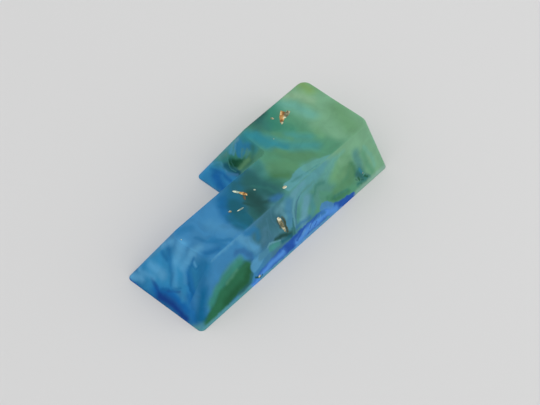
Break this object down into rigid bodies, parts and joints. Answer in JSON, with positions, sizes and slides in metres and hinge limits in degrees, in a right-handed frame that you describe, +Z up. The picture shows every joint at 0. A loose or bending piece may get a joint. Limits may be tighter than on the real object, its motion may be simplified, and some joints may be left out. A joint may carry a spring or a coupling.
{
  "type": "keycap",
  "caption": "Stepped keyboard keycap, an open cast shell with sloped walls, a shallow finger scoop, and cross-socketed posts under its top.",
  "frame": {"origin": "middle of the key's outline, at the height of the rim it rests on", "axes": "+X across the key to its straight side, +Y along the key from its narrow front part to its wide back part, +Z up through the top"},
  "size_m": [0.0182, 0.037, 0.0071],
  "materials": {
    "cast_resin": "satin cast resin, marbled in blue and green",
    "gold_leaf": "small crumpled flakes of gold-coloured leaf in the resin"
  },
  "bodies": {
    "root": {"keycap": "cast_resin"}
  },
  "joints": []
}
